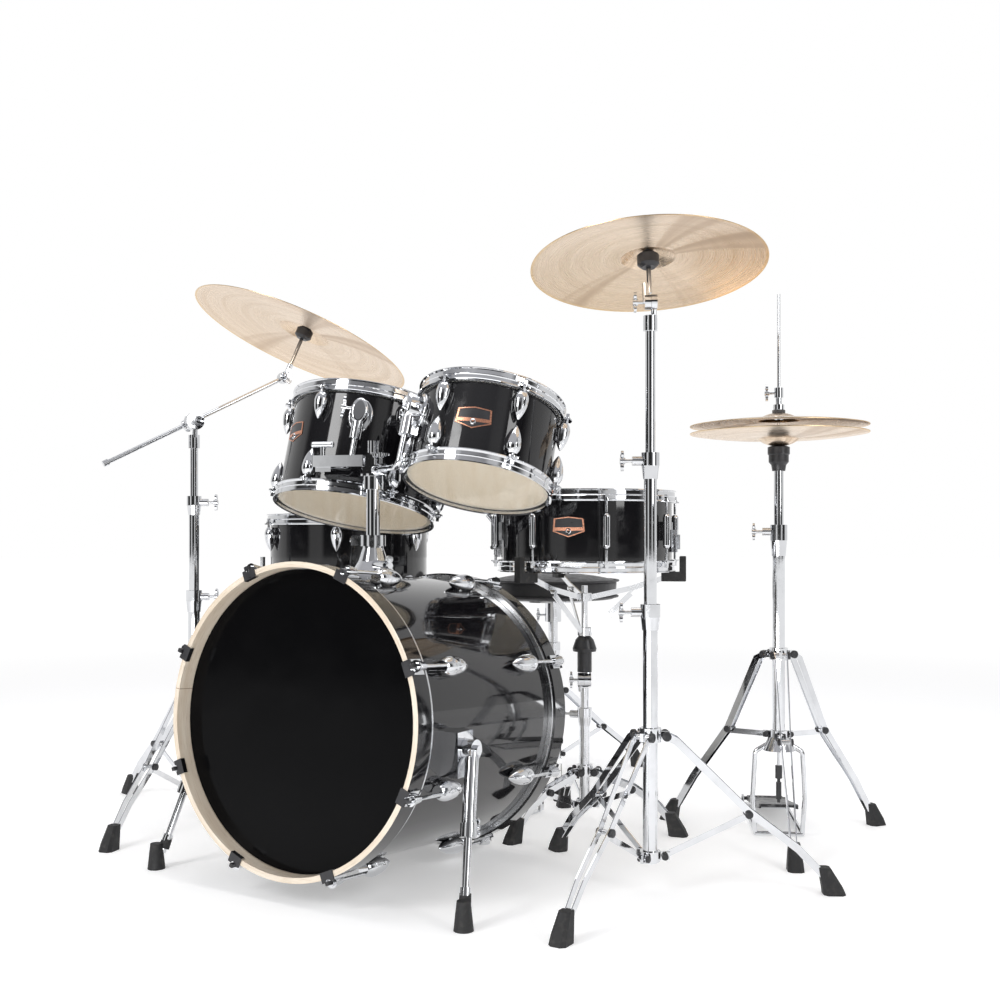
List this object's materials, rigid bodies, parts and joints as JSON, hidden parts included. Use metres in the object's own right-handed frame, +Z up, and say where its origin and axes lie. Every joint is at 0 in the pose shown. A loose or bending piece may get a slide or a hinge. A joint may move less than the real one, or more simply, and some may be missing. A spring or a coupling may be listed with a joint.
{
  "type": "acoustic drum kit",
  "caption": "Acoustic drum kit with bass drum, rack toms, floor tom, snare, crash, ride and hi-hat cymbals on tripod stands, foot pedals and a round throne.",
  "frame": {"origin": "bottom centre of the whole kit's box, on the floor", "axes": "+Z up, +Y towards the drummer, +X towards the hi-hat side"},
  "size_m": [1.6926, 1.4224, 1.154],
  "materials": {
    "black_wrap": "gloss",
    "bare_wood": "satin",
    "chrome": "polished",
    "black_film": "gloss",
    "clear_film": "satin",
    "bronze": "satin",
    "rubber": "matte",
    "seat_vinyl": "satin",
    "steel_wire": "satin"
  },
  "bodies": {
    "kit_base": {"bass_shell": "black_wrap", "bass_hoops": "bare_wood", "bass_front_head": "black_film", "bass_batter_head": "clear_film", "bass_lugs": "chrome", "bass_claws": "chrome", "bass_brackets": "chrome", "rubber_feet": "rubber", "crash_stand_tripod": "chrome", "boom_stand_tripod": "chrome", "snare_stand_tripod": "chrome", "throne_tripod": "chrome", "hi_hat_frame": "chrome", "floor_tom_legs": "chrome", "kick_pedal_frame": "chrome"},
    "spur_right": {"spur_right": "chrome"},
    "spur_left": {"spur_left": "chrome"},
    "tom_post": {"tom_post": "chrome"},
    "tom_holder": {"tom_holder": "chrome"},
    "high_tom_arm": {"high_tom_arm": "chrome"},
    "mid_tom_arm": {"mid_tom_arm": "chrome"},
    "high_tom": {"high_tom_shell": "black_wrap", "high_tom_hoops": "chrome", "high_tom_heads": "clear_film", "high_tom_fittings": "chrome"},
    "mid_tom": {"mid_tom_shell": "black_wrap", "mid_tom_hoops": "chrome", "mid_tom_heads": "clear_film", "mid_tom_fittings": "chrome"},
    "floor_tom": {"floor_tom_shell": "black_wrap", "floor_tom_hoops": "chrome", "floor_tom_heads": "clear_film", "floor_tom_fittings": "chrome"},
    "snare_stand_tube": {"snare_stand_tube": "chrome"},
    "snare_basket": {"snare_basket": "chrome", "snare_grips": "rubber", "snare_shell": "black_wrap", "snare_hoops": "chrome", "snare_heads": "clear_film", "snare_fittings": "chrome", "snare_wires": "steel_wire"},
    "throw_off_lever": {"throw_off_lever": "chrome"},
    "crash_stand_tube": {"crash_stand_tube": "chrome"},
    "crash_tilter": {"crash_tilter": "chrome"},
    "crash_cymbal": {"crash_cymbal": "bronze"},
    "boom_stand_tube": {"boom_stand_tube": "chrome"},
    "boom_clamp": {"boom_clamp": "chrome"},
    "boom_arm": {"boom_arm": "chrome"},
    "ride_tilter": {"ride_tilter": "chrome"},
    "ride_cymbal": {"ride_cymbal": "bronze"},
    "hi_hat_tube": {"hi_hat_tube": "chrome", "hi_hat_bottom_cymbal": "bronze"},
    "hi_hat_rod": {"hi_hat_rod": "chrome", "hi_hat_top_cymbal": "bronze"},
    "hi_hat_footboard": {"hi_hat_footboard": "chrome"},
    "kick_footboard": {"kick_footboard": "chrome"},
    "kick_beater": {"kick_beater": "chrome"},
    "throne_post": {"throne_post": "chrome"},
    "throne_seat": {"throne_seat": "seat_vinyl", "throne_seat_clamp": "chrome"}
  },
  "joints": [
    {"name": "spur_right_fold", "type": "hinge", "parent": "kit_base", "child": "spur_right", "pos_m": [0.34801, -0.5704, 0.26138], "axis": [1, 0, 0], "range_deg": [0, 108]},
    {"name": "spur_left_fold", "type": "hinge", "parent": "kit_base", "child": "spur_left", "pos_m": [-0.23677, -0.5704, 0.26138], "axis": [1, 0, 0], "range_deg": [0, 108]},
    {"name": "tom_post_height", "type": "slide", "parent": "kit_base", "child": "tom_post", "axis": [0, 0, 1], "range_m": [-0.04, 0.06]},
    {"name": "tom_holder_swivel", "type": "hinge", "parent": "tom_post", "child": "tom_holder", "pos_m": [0.05562, -0.4509, 0], "axis": [0, 0, 1], "range_deg": [-6, 8]},
    {"name": "high_tom_tilt", "type": "hinge", "parent": "tom_holder", "child": "high_tom_arm", "pos_m": [0.05562, -0.4509, 0.729], "axis": [0.8334, -0.5527, 0], "range_deg": [-8, 10]},
    {"name": "mid_tom_tilt", "type": "hinge", "parent": "tom_holder", "child": "mid_tom_arm", "pos_m": [0.00809, -0.45885, 0.738], "axis": [-0.9455, -0.3256, 0], "range_deg": [-8, 10]},
    {"name": "high_tom_swivel", "type": "hinge", "parent": "high_tom_arm", "child": "high_tom", "pos_m": [0.1647, -0.52324, 0.729], "axis": [-0.0099, 0.3354, 0.942], "range_deg": [-8, 8]},
    {"name": "mid_tom_swivel", "type": "hinge", "parent": "mid_tom_arm", "child": "mid_tom", "pos_m": [0.00809, -0.45885, 0.738], "axis": [0.0118, 0.2622, 0.9649], "range_deg": [-6, 4]},
    {"name": "floor_tom_height", "type": "slide", "parent": "kit_base", "child": "floor_tom", "axis": [0, 0, 1], "range_m": [-0.05, 0.06]},
    {"name": "snare_height", "type": "slide", "parent": "kit_base", "child": "snare_stand_tube", "axis": [0, 0, 1], "range_m": [-0.03, 0.05]},
    {"name": "snare_basket_tilt", "type": "hinge", "parent": "snare_stand_tube", "child": "snare_basket", "pos_m": [0.24962, 0.0191, 0.308], "axis": [0.8572, 0.515, 0], "range_deg": [-6, 6]},
    {"name": "throw_off", "type": "hinge", "parent": "snare_basket", "child": "throw_off_lever", "pos_m": [0.06081, -0.03789, 0.584], "axis": [0.342, -0.9397, 0], "range_deg": [0, 100]},
    {"name": "crash_stand_height", "type": "slide", "parent": "kit_base", "child": "crash_stand_tube", "axis": [0, 0, 1], "range_m": [-0.12, 0.08]},
    {"name": "crash_tilt", "type": "hinge", "parent": "crash_stand_tube", "child": "crash_tilter", "pos_m": [0.55362, -0.3269, 1.008], "axis": [-0.8572, -0.515, 0], "range_deg": [-15, 15]},
    {"name": "crash_rock", "type": "hinge", "parent": "crash_tilter", "child": "crash_cymbal", "pos_m": [0.54233, -0.31263, 1.10124], "axis": [1, 0, 0], "range_deg": [-6, 6], "stiffness_Nm_per_rad": 4},
    {"name": "boom_stand_height", "type": "slide", "parent": "kit_base", "child": "boom_stand_tube", "axis": [0, 0, 1], "range_m": [-0.12, 0.08]},
    {"name": "boom_raise", "type": "hinge", "parent": "boom_stand_tube", "child": "boom_clamp", "pos_m": [-0.52938, -0.3219, 0.858], "axis": [-0.8786, 0.4775, 0], "range_deg": [-12, 18]},
    {"name": "boom_reach", "type": "slide", "parent": "boom_clamp", "child": "boom_arm", "axis": [0.4232, 0.7786, 0.4633], "range_m": [-0.04, 0.06]},
    {"name": "ride_tilt", "type": "hinge", "parent": "boom_arm", "child": "ride_tilter", "pos_m": [-0.44172, -0.1292, 0.96838], "axis": [-0.8786, 0.4775, 0], "range_deg": [-10, 12]},
    {"name": "ride_rock", "type": "hinge", "parent": "ride_tilter", "child": "ride_cymbal", "pos_m": [-0.4077, -0.08987, 1.08795], "axis": [1, 0, 0], "range_deg": [-6, 6], "stiffness_Nm_per_rad": 10},
    {"name": "hi_hat_height", "type": "slide", "parent": "kit_base", "child": "hi_hat_tube", "axis": [0, 0, 1], "range_m": [-0.08, 0]},
    {"name": "hi_hat_pedal", "type": "hinge", "parent": "kit_base", "child": "hi_hat_footboard", "pos_m": [0.50889, 0.39455, 0.02], "axis": [0.9063, 0.4226, 0], "range_deg": [0, 2.7], "stiffness_Nm_per_rad": 20, "springref_deg": -20.05},
    {"name": "hi_hat_pull_rod", "type": "slide", "parent": "kit_base", "child": "hi_hat_rod", "axis": [0, 0, 1], "range_m": [-0.0125, 0]},
    {"name": "kick_pedal", "type": "hinge", "parent": "kit_base", "child": "kick_footboard", "pos_m": [0.05562, 0.0961, 0.022], "axis": [1, 0, 0], "range_deg": [0, 14.4], "stiffness_Nm_per_rad": 6, "springref_deg": -22.92},
    {"name": "kick_beater_swing", "type": "hinge", "parent": "kit_base", "child": "kick_beater", "pos_m": [0.05562, -0.1739, 0.152], "axis": [1, 0, 0], "range_deg": [0, 49]},
    {"name": "throne_height", "type": "slide", "parent": "kit_base", "child": "throne_post", "axis": [0, 0, 1], "range_m": [-0.045, 0.06]},
    {"name": "throne_swivel", "type": "hinge", "parent": "throne_post", "child": "throne_seat", "pos_m": [-0.06238, 0.4521, 0], "axis": [0, 0, 1], "continuous": true}
  ],
  "couplings": [
    {"joint": "hi_hat_pull_rod", "follows": "hi_hat_pedal", "m_per_rad": -0.262},
    {"joint": "kick_beater_swing", "follows": "kick_pedal", "ratio": 3.4}
  ]
}
